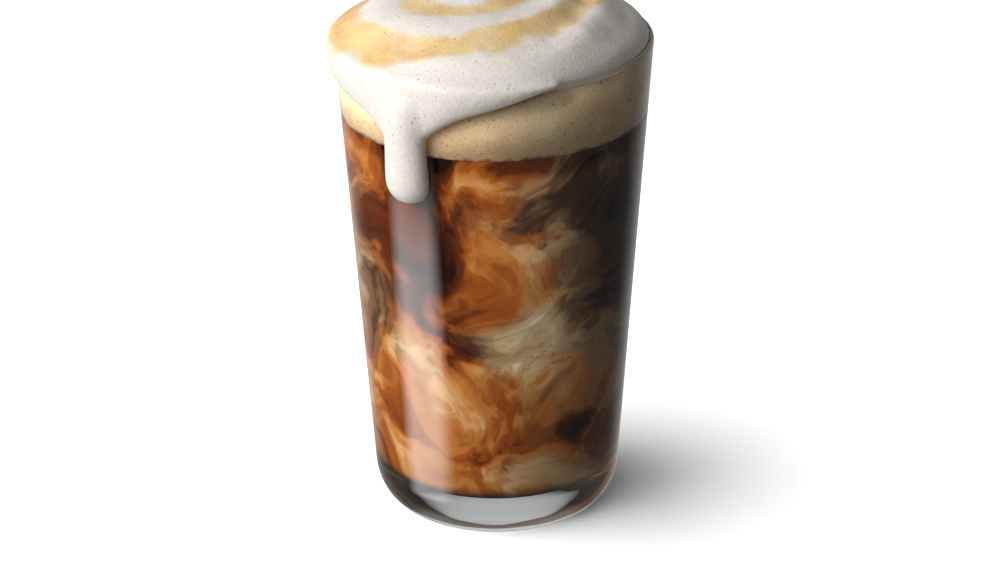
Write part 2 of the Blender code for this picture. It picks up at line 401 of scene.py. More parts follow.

# %% [markdown]
# The same level of milk looks rust and amber where the lamp shines in, and grey-brown where it
# doesn't. So there are two colour ramps, warm and cool, and a coolness mixes them. It grows to the
# right, a painted shade away from the lamp, grows in the cream ball and at the far left, and falls
# towards the bottom.

# %% Coffee: colours
WARM_STOPS = (
    (0.22, "#1c0802"),
    (0.35, "#502107"),
    (0.46, "#854413"),
    (0.57, "#a2672f"),
    (0.70, "#b98f62"),
    (0.86, "#cdb594"),
)
COOL_STOPS = (
    (0.22, "#1a110a"),
    (0.35, "#3b291b"),
    (0.46, "#624a34"),
    (0.57, "#87704f"),
    (0.70, "#a8916f"),
    (0.86, "#c4b396"),
)
FAR_LEFT = (-36, -12, 70)
PATCH_MM = 22


def set_ramp(ramp_node, stops):
    ramp = ramp_node.color_ramp
    ramp.interpolation = "EASE"
    while len(ramp.elements) > 1:
        ramp.elements.remove(ramp.elements[-1])
    ramp.elements[0].position = stops[0][0]
    ramp.elements[0].color = linear(stops[0][1])
    for position, colour in stops[1:]:
        ramp.elements.new(position).color = linear(colour)


warm = add(tree, "ShaderNodeValToRGB", {"Fac": level})
set_ramp(warm, WARM_STOPS)
cool = add(tree, "ShaderNodeValToRGB", {"Fac": level})
set_ramp(cool, COOL_STOPS)
folded_axes = add(tree, "ShaderNodeSeparateXYZ", {0: folds})
# Painted shade: the cool, grey-brown ramp takes over towards the right, away from the lamp.
painted_shade_to_right = add(
    tree,
    "ShaderNodeMapRange",
    {"Value": folded_axes.outputs["X"], "From Min": -4 * MM, "From Max": 30 * MM},
    interpolation_type="SMOOTHSTEP",
)
in_cream_ball = blob(CREAM_BALL, 16, masses_at)
at_far_left = blob(FAR_LEFT, 46, masses_at)
patches = add(tree, "ShaderNodeTexNoise", {"Vector": billows, "Scale": per_mm(PATCH_MM), "Detail": 2.0})
coolness = raised(
    patches.outputs[0],
    [(in_cream_ball, 0.34), (low_down.outputs[0], -0.16), (painted_shade_to_right.outputs[0], 0.42), (at_far_left, 0.2)],
)
cool_share = add(tree, "ShaderNodeMapRange", {"Value": coolness, "From Min": 0.52, "From Max": 0.88})
swirl = add(
    tree,
    "ShaderNodeMix",
    {"Factor": cool_share.outputs[0], "A": warm.outputs[0], "B": cool.outputs[0]},
    data_type="RGBA",
)
print("coffee runs from", WARM_STOPS[0][1], "to", WARM_STOPS[-1][1])

# %% [markdown]
# Where two folds meet, coffee is caught between them as a thin dark thread. A noise's middle
# value traces such lines. They are darkest in the mixing zone, left of the middle, and faint
# elsewhere. At the very bottom the coffee goes dark and neutral, because no light comes up from
# under it.

# %% Coffee: threads
THREAD_MM = 13
FAINT_THREAD = 0.86
DARK_THREAD = 0.58
MIXING_ZONE = (-6, -36, 62)
BOTTOM_DARK = "#303137"

lines = add(tree, "ShaderNodeTexNoise", {"Vector": wisps, "Scale": per_mm(THREAD_MM), "Detail": 2.0})
from_middle = add(tree, "ShaderNodeMath", {0: lines.outputs[0], 1: 0.5}, operation="SUBTRACT")
off_line = add(tree, "ShaderNodeMath", {0: from_middle.outputs[0]}, operation="ABSOLUTE")
mixing = blob(MIXING_ZONE, 32, billows)
darkest = add(tree, "ShaderNodeMapRange", {"Value": mixing, "To Min": FAINT_THREAD, "To Max": DARK_THREAD})
thread_tone = add(
    tree,
    "ShaderNodeMapRange",
    {"Value": off_line.outputs[0], "From Max": 0.03, "To Min": darkest.outputs[0], "To Max": 1.0},
)
threaded = add(
    tree,
    "ShaderNodeVectorMath",
    {0: swirl.outputs["Result"], "Scale": thread_tone.outputs[0]},
    operation="SCALE",
)
above_bottom = add(
    tree,
    "ShaderNodeMapRange",
    {
        "Value": axes.outputs["Z"],
        "From Min": FLOOR_HEIGHT + 0.3 * MM,
        "From Max": FLOOR_HEIGHT + 3.3 * MM,
    },
)
coffee_colour = add(
    tree,
    "ShaderNodeMix",
    {"Factor": above_bottom.outputs[0], "A": linear(BOTTOM_DARK), "B": threaded.outputs[0]},
    data_type="RGBA",
)
tree.links.new(coffee_colour.outputs["Result"], shader.inputs["Base Color"])
print("coffee material has", len(tree.nodes), "nodes")

# %% [markdown]
# There is no air between coffee and glass, so the coffee's piece reaches just into the wall, and
# it has no shine of its own: all the gloss that the eye sees is the glass's.

# %% Coffee
INTO_WALL = 0.12 * MM

shader.inputs["Roughness"].default_value = 0.5
shader.inputs["Specular IOR Level"].default_value = 0.0
coffee_outline = [(0, COFFEE_LEVEL)] + cavity(INTO_WALL, COFFEE_LEVEL)
coffee = turned("coffee_fill", coffee_outline, coffee_finish)
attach(coffee, "root")
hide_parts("coffee")
print("coffee faces", len(coffee.data.polygons))

# %% [markdown]
# The band under the rim is the oldest foam: fine, wet and stained tan by the coffee. Pressed
# against the glass, its bubbles show as a close grain with a few darker pits. Two cell patterns
# draw them. Real bubbles here are a third of a millimetre, and the grain's cells are drawn at
# 0.9 mm so that they show.

# %% Foam band: bubbles
BAND_STOPS = ((0.3, "#e0c096"), (0.5, "#e8cba2"), (0.7, "#efd8b4"))
BAND_MOTTLE_MM = 11
BAND_GRAIN_MM = 0.9
BAND_PITS_MM = 2.6

band_finish, tree, shader, where = new_material("fine_coffee_foam")
mottle = add(tree, "ShaderNodeTexNoise", {"Vector": where, "Scale": per_mm(BAND_MOTTLE_MM), "Detail": 3.0})
tan = add(tree, "ShaderNodeValToRGB", {"Fac": mottle.outputs[0]})
set_ramp(tan, BAND_STOPS)
grain = add(tree, "ShaderNodeTexVoronoi", {"Vector": where, "Scale": per_mm(BAND_GRAIN_MM)})
grain_tone = add(
    tree,
    "ShaderNodeMapRange",
    {"Value": grain.outputs["Distance"], "From Min": 0.08, "From Max": 0.34, "To Min": 0.62, "To Max": 1.04},
)
grained = add(
    tree, "ShaderNodeVectorMath", {0: tan.outputs[0], "Scale": grain_tone.outputs[0]}, operation="SCALE"
)
pits = add(tree, "ShaderNodeTexVoronoi", {"Vector": where, "Scale": per_mm(BAND_PITS_MM)})
pit_tone = add(
    tree,
    "ShaderNodeMapRange",
    {"Value": pits.outputs["Distance"], "From Min": 0.07, "From Max": 0.19, "To Min": 0.5, "To Max": 1.0},
)
pitted = add(
    tree, "ShaderNodeVectorMath", {0: grained.outputs[0], "Scale": pit_tone.outputs[0]}, operation="SCALE"
)
print("band bubbles drawn at", BAND_GRAIN_MM, "and", BAND_PITS_MM, "mm")

# %% [markdown]
# The band is painted lighter on the left and darker to the right, a painted light and shade that
# follows the lamp on the left. Its lower edge isn't a clean line: bubbles float at different depths
# in the coffee, so a noise lifts the coffee's colour into the band by a millimetre or so.

# %% Foam band: painted side light and soaked edge
RAGGED_MM = 3
RAGGED_RISE = 4.0 * MM
SOAKED_BROWN = "#6a4526"

ragged = add(tree, "ShaderNodeTexNoise", {"Vector": where, "Scale": per_mm(RAGGED_MM), "Detail": 3.0})
band_axes = add(tree, "ShaderNodeSeparateXYZ", {0: where})
# Painted light and shade: the band's colour is raised on the left, towards the lamp, and lowered to the
# right.
painted_side_light = add(
    tree,
    "ShaderNodeMapRange",
    {
        "Value": band_axes.outputs["X"],
        "From Min": -14 * MM,
        "From Max": 8 * MM,
        "To Min": 1.15,
        "To Max": 0.8,
    },
)
band_tone = add(
    tree, "ShaderNodeVectorMath", {0: pitted.outputs[0], "Scale": painted_side_light.outputs[0]}, operation="SCALE"
)
edge_height = add(
    tree,
    "ShaderNodeMath",
    {0: ragged.outputs[0], 1: -RAGGED_RISE, 2: band_axes.outputs["Z"]},
    operation="MULTIPLY_ADD",
)
soaked = add(
    tree,
    "ShaderNodeMapRange",
    {
        "Value": edge_height.outputs[0],
        "From Min": COFFEE_LEVEL - 1.0 * MM,
        "From Max": COFFEE_LEVEL - 2.2 * MM,
        "To Max": 0.85,
    },
)
band_colour = add(
    tree,
    "ShaderNodeMix",
    {"Factor": soaked.outputs[0], "A": band_tone.outputs[0], "B": linear(SOAKED_BROWN)},
    data_type="RGBA",
)
tree.links.new(band_colour.outputs["Result"], shader.inputs["Base Color"])
shader.inputs["Roughness"].default_value = 0.6
shader.inputs["Specular IOR Level"].default_value = 0.1
print("band material has", len(tree.nodes), "nodes")

# %% [markdown]
# The band itself is a plain disc as wide as the cavity. It starts a hair above the coffee, so
# that the two faces never lie in the same place and flicker.

# %% Foam band
band_low = COFFEE_LEVEL + 0.02 * MM
band_outline = [(0, BAND_TOP), (inner_radius(BAND_TOP) + INTO_WALL, BAND_TOP)]
band_outline += [(inner_radius(band_low) + INTO_WALL, band_low), (0, band_low)]
band = turned("foam_band_fill", band_outline, band_finish)
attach(band, "root")
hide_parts("foam_band")
print("band", round((BAND_TOP - band_low) / MM, 1), "mm deep")

# %% [markdown]
# The cap was spooned on. It is a mound, an apron where it slid over the rim, and one drip down
# the wall. Each is a simple closed shape, and a voxel remesh grows them into one skin. The apron
# comes first: a strip that hangs over the rim from the right front round to the back, deepest
# where it runs into the drip and thinning out at both ends.

# %% Apron: how far it hangs
SPILL_START_DEG = 24
SPILL_END_DEG = -196
SPILL_DEPTH_MM = 7.6
SPILL_END_DEPTH_MM = 0.4
SPILL_WAVE_MM = 0.8
SPILL_WAVES = 5
SPILL_RISE_SHARE = 0.20  # of its length, over which it deepens from the right
SPILL_FALL_SHARE = 0.3  # and over which it thins out again at the back
DRIP_DEG = -33.5
DRIP_ROOT_DEPTH_MM = 9.5
DRIP_ROOT_SPREAD_DEG = 14


def spill_depth(angle_deg):
    share = (angle_deg - SPILL_START_DEG) / (SPILL_END_DEG - SPILL_START_DEG)
    ends = min(1.0, share / SPILL_RISE_SHARE, (1 - share) / SPILL_FALL_SHARE)
    near_drip = math.exp(-(((angle_deg - DRIP_DEG) / DRIP_ROOT_SPREAD_DEG) ** 2))
    edge = SPILL_DEPTH_MM + DRIP_ROOT_DEPTH_MM * near_drip
    edge += SPILL_WAVE_MM * math.sin(math.radians(angle_deg * SPILL_WAVES))
    return (SPILL_END_DEPTH_MM + edge * ends * ends * (3 - 2 * ends)) * MM


print("apron hangs", round(spill_depth(DRIP_DEG) / MM, 1), "mm at the drip")

# %% [markdown]
# The apron and the drip are both tubes: a row of rings, each a closed loop of points, joined by
# faces and capped at the two ends. A ring of the apron is its cross-section over the rim. It dips
# a little into the glass, and the trim further down cuts that away.

# %% Apron
SPILL_THICKNESS = 2.5 * MM
SPILL_THIN_END = 0.12  # its thickness at the two ends, as a share of the whole
APRON_STEPS = 132
APRON_FADE_STEPS = 24


def tube(name, bm, rings):
    for ring, after in zip(rings, rings[1:]):
        for k in range(len(ring)):
            following = (k + 1) % len(ring)
            bm.faces.new((ring[k], ring[following], after[following], after[k]))
    bm.faces.new(rings[0])
    bm.faces.new(reversed(rings[-1]))
    return finish_mesh(name, bm)


def apron_section(depth, thick):
    low = HEIGHT - depth
    middle = HEIGHT - depth / 2
    wall = outer_radius(low)
    return [
        (RIM_RADIUS - 5.0 * MM, HEIGHT - 1.0 * MM),  # inside the rim, under the mound's edge
        (RIM_RADIUS - 5.0 * MM, HEIGHT + 3.2 * MM),
        (RIM_RADIUS - 1.0 * MM, HEIGHT + 0.8 * thick),  # over the lip
        (RIM_RADIUS + 0.75 * thick, HEIGHT + 0.1 * thick),
        (outer_radius(middle) + thick, middle),  # down the outside
        (wall + 0.75 * thick, low - 0.2 * thick),
        (wall - 1.0 * MM, low - 0.6 * thick),  # back under, into the wall
        (wall - 1.6 * MM, low),
    ]


apron_bm = bmesh.new()
apron_rings = []
for i in range(APRON_STEPS + 1):
    angle = SPILL_START_DEG + (SPILL_END_DEG - SPILL_START_DEG) * i / APRON_STEPS
    fade = min(1.0, i / APRON_FADE_STEPS, (APRON_STEPS - i) / APRON_FADE_STEPS)
    thick = SPILL_THICKNESS * (SPILL_THIN_END + (1 - SPILL_THIN_END) * math.sqrt(fade))
    section = apron_section(spill_depth(angle), thick)
    apron_rings.append([apron_bm.verts.new(place(angle, r, z)) for r, z in section])
apron = tube("apron", apron_bm, apron_rings)
print("apron from", SPILL_START_DEG, "to", SPILL_END_DEG, "degrees")

# %% [markdown]
# The drip runs down the wall at the front left. It is a little wider at its foot, where the foam
# gathers to a bead, and its rings are flattened against the glass. Its top widens and sinks into
# the apron, so that no knuckle shows where the two meet.

# %% Drip
DRIP_TOP = 131.0 * MM
DRIP_FOOT = 106.8 * MM
DRIP_NECK_RADIUS = 6.1 * MM
DRIP_BEAD_RADIUS = 7.2 * MM
DRIP_FLATNESS = 0.66
DRIP_OFF_WALL = 0.2 * MM
DRIP_ROOT_FLARE = 3.0 * MM
DRIP_FLARE_SHARE = 0.4  # of its length, from the top
DRIP_ROOT_SINK = 5.0 * MM
DRIP_SINK_SHARE = 0.35
DRIP_BLUNT_TIP = 0.004
DRIP_STEPS = 40
DRIP_SIDES = 24

drip_bm = bmesh.new()
drip_rings = []
bead_low = DRIP_FOOT + DRIP_BEAD_RADIUS * 0.1 - DRIP_BEAD_RADIUS  # smoothing shortens the drip again
outward = place(DRIP_DEG, 1, 0)
sideways = Vector((outward.y, -outward.x, 0))
for i in range(DRIP_STEPS + 1):
    share = i / DRIP_STEPS
    z = DRIP_TOP + (bead_low - DRIP_TOP) * share
    wall = outer_radius(z)
    full = DRIP_NECK_RADIUS + (DRIP_BEAD_RADIUS - DRIP_NECK_RADIUS) * share**2
    above_foot = (z - bead_low) / DRIP_BEAD_RADIUS
    tip = math.sqrt(max(DRIP_BLUNT_TIP, 1 - max(0.0, 1 - above_foot) ** 2))
    radius = (full + DRIP_ROOT_FLARE * max(0.0, 1 - share / DRIP_FLARE_SHARE) ** 2) * tip
    centre = wall + DRIP_OFF_WALL - DRIP_ROOT_SINK * max(0.0, 1 - share / DRIP_SINK_SHARE) ** 2
    ring = []
    for k in range(DRIP_SIDES):
        a = 2 * math.pi * k / DRIP_SIDES
        out = wall + (centre + radius * math.cos(a) - wall) * DRIP_FLATNESS
        point = outward * out + sideways * radius * math.sin(a) + Vector((0, 0, z))
        ring.append(drip_bm.verts.new(point))
    drip_rings.append(ring)
drip = tube("drip", drip_bm, drip_rings)
print("drip", round((DRIP_TOP - bead_low) / MM, 1), "mm long")

# %% [markdown]
# The mound is half an ellipsoid with a short skirt down into the glass. It is joined with the
# apron and the drip, remeshed to one even skin, and smoothed, which lets it slump as wet foam
# does and melts the joins away.

# %% Grow the cap
DOME_HEIGHT = 12.0 * MM
DOME_EDGE_INSET = 1.2 * MM
DOME_SINK = 0.5 * MM
DOME_FLAT_TOP_DEG = 84
DOME_SKIRT = 3 * MM
DOME_TAPER = 0.4 * MM
DOME_STEPS = 26
CAP_VOXEL = 0.7 * MM
SLUMP_ROUNDS = 28


def applied(obj):
    bpy.context.view_layer.update()
    graph = bpy.context.evaluated_depsgraph_get()
    mesh = bpy.data.meshes.new_from_object(obj.evaluated_get(graph))
    obj.modifiers.clear()
    obj.data = mesh


def boolean(obj, other, operation):
    cut = obj.modifiers.new(operation, "BOOLEAN")
    cut.operation = operation
    cut.solver = "MANIFOLD"
    cut.object = other
    applied(obj)
    bpy.data.objects.remove(other)


dome_edge = RIM_RADIUS - DOME_EDGE_INSET
dome_outline = [(0, HEIGHT + DOME_HEIGHT)]
dome_radii = (dome_edge, DOME_HEIGHT + DOME_SINK)
dome_outline += arc((0, HEIGHT - DOME_SINK), dome_radii, DOME_FLAT_TOP_DEG, 0, DOME_STEPS)
dome_outline += [(dome_edge - DOME_TAPER, BAND_TOP - DOME_SKIRT), (0, BAND_TOP - DOME_SKIRT)]
cap = turned("milk_foam_cap", dome_outline)
boolean(cap, apron, "UNION")
boolean(cap, drip, "UNION")
grow = cap.modifiers.new("Grow", "REMESH")
grow.mode = "VOXEL"
grow.voxel_size = CAP_VOXEL
slump = cap.modifiers.new("Slump", "SMOOTH")
slump.factor = 0.5
slump.iterations = SLUMP_ROUNDS
applied(cap)
print("cap grown to", len(cap.data.vertices), "points")

# %% [markdown]
# The top is not smooth: the spoon left low rings about a point left of the middle, drawn out
# towards the left where the foam ran over. One rule gives a ring's place. It lifts the mesh
# here, and the material uses it again to lay the coffee's gold in the hollows between the rings.

# %% Ladled relief
SWELL_DEPTH = 0.45 * MM
SWELLS_PER_METRE = (70, 110)  # swells of about 14 mm across and 9 mm front to back
WANDER = 5 * MM
WANDERS_PER_METRE = 45  # a ring's line bends every 22 mm or so
SWELL_SEED = 3.7
WANDER_SEED = 9.1
FINE_DEPTH = 0.12 * MM
FINE_PER_METRE = 260  # lumps of about 4 mm
RELIEF_FADE = 6 * MM
RINGS_CENTRE_X = -4.0 * MM
DRAWN_LEFT = 0.24
RING_HEIGHT = 0.5 * MM
RING_SPACING = 15.5 * MM
RING_CREST = 19.5 * MM
CALM_MIDDLE = 7.0 * MM

lifts = []
for vert in cap.data.vertices:
    x, y, z = vert.co
    on_top = max(0.0, min(1.0, (z - HEIGHT) / RELIEF_FADE))
    swell = noise.noise(Vector((x * SWELLS_PER_METRE[0], y * SWELLS_PER_METRE[1], SWELL_SEED)))
    wander = noise.noise(Vector((x * WANDERS_PER_METRE, y * WANDERS_PER_METRE, WANDER_SEED))) * WANDER
    x_off = x - RINGS_CENTRE_X
    away = math.hypot(x_off, y) + DRAWN_LEFT * min(0.0, x_off)
    ring_line = math.cos(2 * math.pi * (away + wander - RING_CREST) / RING_SPACING)
    ring_line *= max(0.0, min(1.0, away / CALM_MIDDLE))
    fine = noise.noise(vert.co * FINE_PER_METRE)
    lift = on_top * (SWELL_DEPTH * swell + RING_HEIGHT * ring_line + FINE_DEPTH * fine)
    vert.co.z += lift
    lifts.append(lift)
print("relief from", round(min(lifts) / MM, 2), "to", round(max(lifts) / MM, 2), "mm")

# %% [markdown]
# The foam lies against the glass, so the glass's own outline cuts it, a hair inside the wall so
# that the faces overlap. What lies below the band's top inside the glass is cut away as well.

# %% Fit the cap to the glass
TRIM_LOW = 80 * MM
TRIM_OVERLAP = 0.05 * MM
TRIM_STEPS = 12

trim = arc(lip_centre, (lip - TRIM_OVERLAP, lip - TRIM_OVERLAP), 180, 0, TRIM_STEPS)
trim += [(outer_radius(TRIM_LOW) - TRIM_OVERLAP, TRIM_LOW), (inner_radius(TRIM_LOW) + TRIM_OVERLAP, TRIM_LOW)]
boolean(cap, turned("trim_wall", trim), "DIFFERENCE")
hollow = [(0, BAND_TOP), (lip_centre[0], BAND_TOP), (outer_radius(TRIM_LOW) - lip, TRIM_LOW), (0, TRIM_LOW)]
boolean(cap, turned("trim_hollow", hollow), "DIFFERENCE")
cap.data.shade_smooth()
print("cap trimmed to", len(cap.data.polygons), "faces")

# %% [markdown]
# Gold stains are coffee that the spoon dragged through the white. They lie in the hollows between
# the rings and stop short of the lip. The place is stirred first, so that a stain's edge wanders,
# and then measured as a distance from the rings' centre, shortened to the left as in the mesh.

# %% Foam cap: where the gold lies
cap_finish, tree, shader, where = new_material("spooned_milk_foam")
stirred = pushed_about(where, size_mm=30, push_mm=16, detail=1.0)
streaked = pushed_about(stirred, size_mm=8, push_mm=5, detail=1.0)
from_centre = add(
    tree,
    "ShaderNodeVectorMath",
    {0: streaked, 1: (1.0, 1.0, 0.0), 2: (-RINGS_CENTRE_X, 0.0, 0.0)},
    operation="MULTIPLY_ADD",
)
ring_axes = add(tree, "ShaderNodeSeparateXYZ", {0: from_centre.outputs[0]})
ring_distance = add(tree, "ShaderNodeVectorMath", {0: from_centre.outputs[0]}, operation="LENGTH")
leftward = add(tree, "ShaderNodeMath", {0: ring_axes.outputs["X"], 1: 0.0}, operation="MINIMUM")
drawn = add(
    tree,
    "ShaderNodeMath",
    {0: leftward.outputs[0], 1: DRAWN_LEFT, 2: ring_distance.outputs["Value"]},
    operation="MULTIPLY_ADD",
)
per_ring = 2 * math.pi / RING_SPACING
phase = add(
    tree,
    "ShaderNodeMath",
    {0: drawn.outputs[0], 1: per_ring, 2: -RING_CREST * per_ring},
    operation="MULTIPLY_ADD",
)
crest = add(tree, "ShaderNodeMath", {0: phase.outputs[0]}, operation="COSINE")
in_hollow = add(
    tree,
    "ShaderNodeMapRange",
    {"Value": crest.outputs[0], "From Min": 0.5, "From Max": -0.6},
    interpolation_type="SMOOTHSTEP",
)
inside_lip = add(
    tree,
    "ShaderNodeMapRange",
    {"Value": drawn.outputs[0], "From Min": 36 * MM, "From Max": 31 * MM},
    interpolation_type="SMOOTHSTEP",
)
stain_place = add(
    tree, "ShaderNodeMath", {0: in_hollow.outputs[0], 1: inside_lip.outputs[0]}, operation="MULTIPLY"
)
first_hollow = RING_CREST - RING_SPACING / 2
print("gold lies", round(first_hollow / MM, 1), "mm from the rings' centre, and one ring further out")

# %% [markdown]
# A stain is thin in places, and its gold runs from straw to caramel. Below the rim the foam is
# all white, because it ran over before the coffee reached it.

# %% Foam cap: gold and white
FOAM_WHITE = "#e0d9d0"
GOLD_STOPS = ((0.36, "#e6c88e"), (0.5, "#deba7c"), (0.64, "#d4a566"))
GOLD_PATCH_MM = 17
THIN_PATCH_MM = 7

thinness = add(
    tree, "ShaderNodeTexNoise", {"Vector": streaked, "Scale": per_mm(THIN_PATCH_MM), "Detail": 4.0}
)
thinned = add(
    tree,
    "ShaderNodeMapRange",
    {"Value": thinness.outputs[0], "From Min": 0.3, "From Max": 0.6, "To Min": 0.78, "To Max": 1.0},
)
stain_amount = add(
    tree, "ShaderNodeMath", {0: stain_place.outputs[0], 1: thinned.outputs[0]}, operation="MULTIPLY"
)
gold_patches = add(
    tree, "ShaderNodeTexNoise", {"Vector": stirred, "Scale": per_mm(GOLD_PATCH_MM), "Detail": 2.0}
)
gold = add(tree, "ShaderNodeValToRGB", {"Fac": gold_patches.outputs[0]})
set_ramp(gold, GOLD_STOPS)
stained = add(
    tree,
    "ShaderNodeMix",
    {"Factor": stain_amount.outputs[0], "A": linear(FOAM_WHITE), "B": gold.outputs[0]},
    data_type="RGBA",
)
cap_axes = add(tree, "ShaderNodeSeparateXYZ", {0: where})
below_rim = add(
    tree,
    "ShaderNodeMapRange",
    {"Value": cap_axes.outputs["Z"], "From Min": HEIGHT + 1.5 * MM, "From Max": HEIGHT - 2 * MM},
    interpolation_type="SMOOTHSTEP",
)
foam_colour = add(
    tree,
    "ShaderNodeMix",
    {"Factor": below_rim.outputs[0], "A": stained.outputs["Result"], "B": linear(FOAM_WHITE)},
    data_type="RGBA",
)
print("foam is", FOAM_WHITE, "with gold from", GOLD_STOPS[0][1], "to", GOLD_STOPS[-1][1])

# %% [markdown]
# Milk foam is a mass of tiny bubbles with a few larger ones that burst and left pinholes. The
# fine ones are drawn at 0.8 mm, several times coarser than real, so that they show. The pinholes
# gather in loose clusters. Both darken the colour a little, a painted shade in their hollows, and
# dent the surface by bump, since holes this small would need millions of faces.

# %% Foam cap: bubbles
FIZZ_MM = 0.8
PINHOLE_MM = 2.2
CLUSTER_MM = 9
PIT_DEPTH = 0.3 * MM

fizz = add(tree, "ShaderNodeTexVoronoi", {"Vector": where, "Scale": per_mm(FIZZ_MM)})
fizz_tone = add(
    tree,
    "ShaderNodeMapRange",
    {"Value": fizz.outputs["Distance"], "From Min": 0.05, "From Max": 0.6, "To Min": 0.87, "To Max": 1.0},
)
holes = add(tree, "ShaderNodeTexVoronoi", {"Vector": where, "Scale": per_mm(PINHOLE_MM)})
hole_tone = add(
    tree,
    "ShaderNodeMapRange",
    {"Value": holes.outputs["Distance"], "From Min": 0.06, "From Max": 0.19, "To Min": 0.6, "To Max": 1.0},
)
clusters = add(tree, "ShaderNodeTexNoise", {"Vector": where, "Scale": per_mm(CLUSTER_MM), "Detail": 1.0})
in_cluster = add(
    tree, "ShaderNodeMapRange", {"Value": clusters.outputs[0], "From Min": 0.42, "From Max": 0.6}
)
hole_share = add(
    tree, "ShaderNodeMix", {"Factor": in_cluster.outputs[0], "A": 1.0, "B": hole_tone.outputs[0]}
)
# Painted shade: the bubbles' hollows are darkened in the colour, and the same pattern dents the surface by
# bump.
bubble_shade_and_depth = add(
    tree, "ShaderNodeMath", {0: fizz_tone.outputs[0], 1: hole_share.outputs[0]}, operation="MULTIPLY"
)
bubbled = add(
    tree,
    "ShaderNodeVectorMath",
    {0: foam_colour.outputs["Result"], "Scale": bubble_shade_and_depth.outputs[0]},
    operation="SCALE",
)
pit_bump = add(
    tree, "ShaderNodeBump", {"Height": bubble_shade_and_depth.outputs[0], "Strength": 0.85, "Distance": PIT_DEPTH}
)
tree.links.new(pit_bump.outputs[0], shader.inputs["Normal"])
print("bubbles drawn at", FIZZ_MM, "and", PINHOLE_MM, "mm")

# %% [markdown]
# Where the foam on the outside thins to nothing against the glass, the coffee behind stains it
# amber. That edge is found by its distance from the wall's cone. Fresh foam is matt and faintly
# see-through, so it also gets a little subsurface light.

# %% Foam cap: thin edge
FRINGE_AMBER = "#d3a468"
FRINGE_FULL = 0.2 * MM
FRINGE_NONE = 0.9 * MM

out_from_axis = add(
    tree, "ShaderNodeVectorMath", {0: where, 1: (1.0, 1.0, 0.0)}, operation="MULTIPLY"
)
out_radius = add(tree, "ShaderNodeVectorMath", {0: out_from_axis.outputs[0]}, operation="LENGTH")
flare = (RIM_RADIUS - CONE_FOOT_RADIUS) / HEIGHT
from_cone = add(
    tree,
    "ShaderNodeMath",
    {0: cap_axes.outputs["Z"], 1: -flare, 2: out_radius.outputs["Value"]},
    operation="MULTIPLY_ADD",
)
thin_edge = add(
    tree,
    "ShaderNodeMapRange",
    {
        "Value": from_cone.outputs[0],
        "From Min": CONE_FOOT_RADIUS + FRINGE_NONE,
        "From Max": CONE_FOOT_RADIUS + FRINGE_FULL,
    },
    interpolation_type="SMOOTHSTEP",
)
hanging = add(
    tree,
    "ShaderNodeMapRange",
    {
        "Value": cap_axes.outputs["Z"],
        "From Min": HEIGHT - 1 * MM,
        "From Max": HEIGHT - 3 * MM,
        "To Max": 0.85,
    },
)
fringe = add(
    tree, "ShaderNodeMath", {0: thin_edge.outputs[0], 1: hanging.outputs[0]}, operation="MULTIPLY"
)
fringed = add(
    tree,
    "ShaderNodeMix",
    {"Factor": fringe.outputs[0], "A": bubbled.outputs[0], "B": linear(FRINGE_AMBER)},
    data_type="RGBA",
)
tree.links.new(fringed.outputs["Result"], shader.inputs["Base Color"])
shader.inputs["Roughness"].default_value = 0.55
shader.inputs["Subsurface Weight"].default_value = 0.25
shader.inputs["Subsurface Radius"].default_value = (2.0 * MM, 1.6 * MM, 1.2 * MM)
shader.inputs["Subsurface Scale"].default_value = 1.0
print("foam cap material has", len(tree.nodes), "nodes")

# %% [markdown]
# Remeshing and cutting can leave empty material slots behind, so any are cleared before the
# finish goes on. The cap then rides on the part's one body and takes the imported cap's place.

# %% Foam cap
cap.data.materials.clear()
cap.data.materials.append(cap_finish)
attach(cap, "root")
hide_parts("foam_cap")
print("cap's top", round(max(vert.co.z for vert in cap.data.vertices) / MM, 1), "mm above the table")

# %% [markdown]
# The studio's floor is a sweep of matt white paper, which shows no gloss, a hair below the foot.
# A white floor near a glass lights it from below and shows in it as a milky glare, and the
# photograph has neither. So the floor is left out of mirror reflections, of bounced light and of
# light that comes through the glass.

# %% Floor
FLOOR_HALF = 3.0
FLOOR_DROP = 0.2 * MM

floor_bm = bmesh.new()
bmesh.ops.create_grid(floor_bm, x_segments=1, y_segments=1, size=FLOOR_HALF)
floor_finish, tree, shader, where = new_material("white_sweep")
shader.inputs["Base Color"].default_value = linear("#fbfbfb")
shader.inputs["Roughness"].default_value = 0.9
floor = finish_mesh("floor", floor_bm, floor_finish)
floor.location.z = -FLOOR_DROP
floor.visible_glossy = False
floor.visible_diffuse = False
floor.visible_transmission = False
print("floor", 2 * FLOOR_HALF, "m square")

# %% [markdown]
# The light comes from the left. A key lamp and a weaker front lamp light the drink alone, and a
# broad lamp above lights the floor alone, so each can be set by itself: the drink keeps its
# strong fall from light to dark, and the floor stays white with one short soft shadow.

# %% Lights


def softbox(name, azimuth_deg, height, distance, size, watts, lit):
    """A square or oblong lamp that faces the glass and lights only the pieces in lit."""
    light = bpy.data.lights.new(name, "AREA")
    light.shape = "RECTANGLE"
    light.size, light.size_y = size
    light.energy = watts
    obj = bpy.data.objects.new(name, light)
    bpy.context.scene.collection.objects.link(obj)
    obj.location = place(azimuth_deg, distance, height)
    obj.rotation_euler = (aim - obj.location).to_track_quat("-Z", "Y").to_euler()
    obj.light_linking.receiver_collection = lit
    print(name, "lamp of", watts, "W at", azimuth_deg, "degrees")


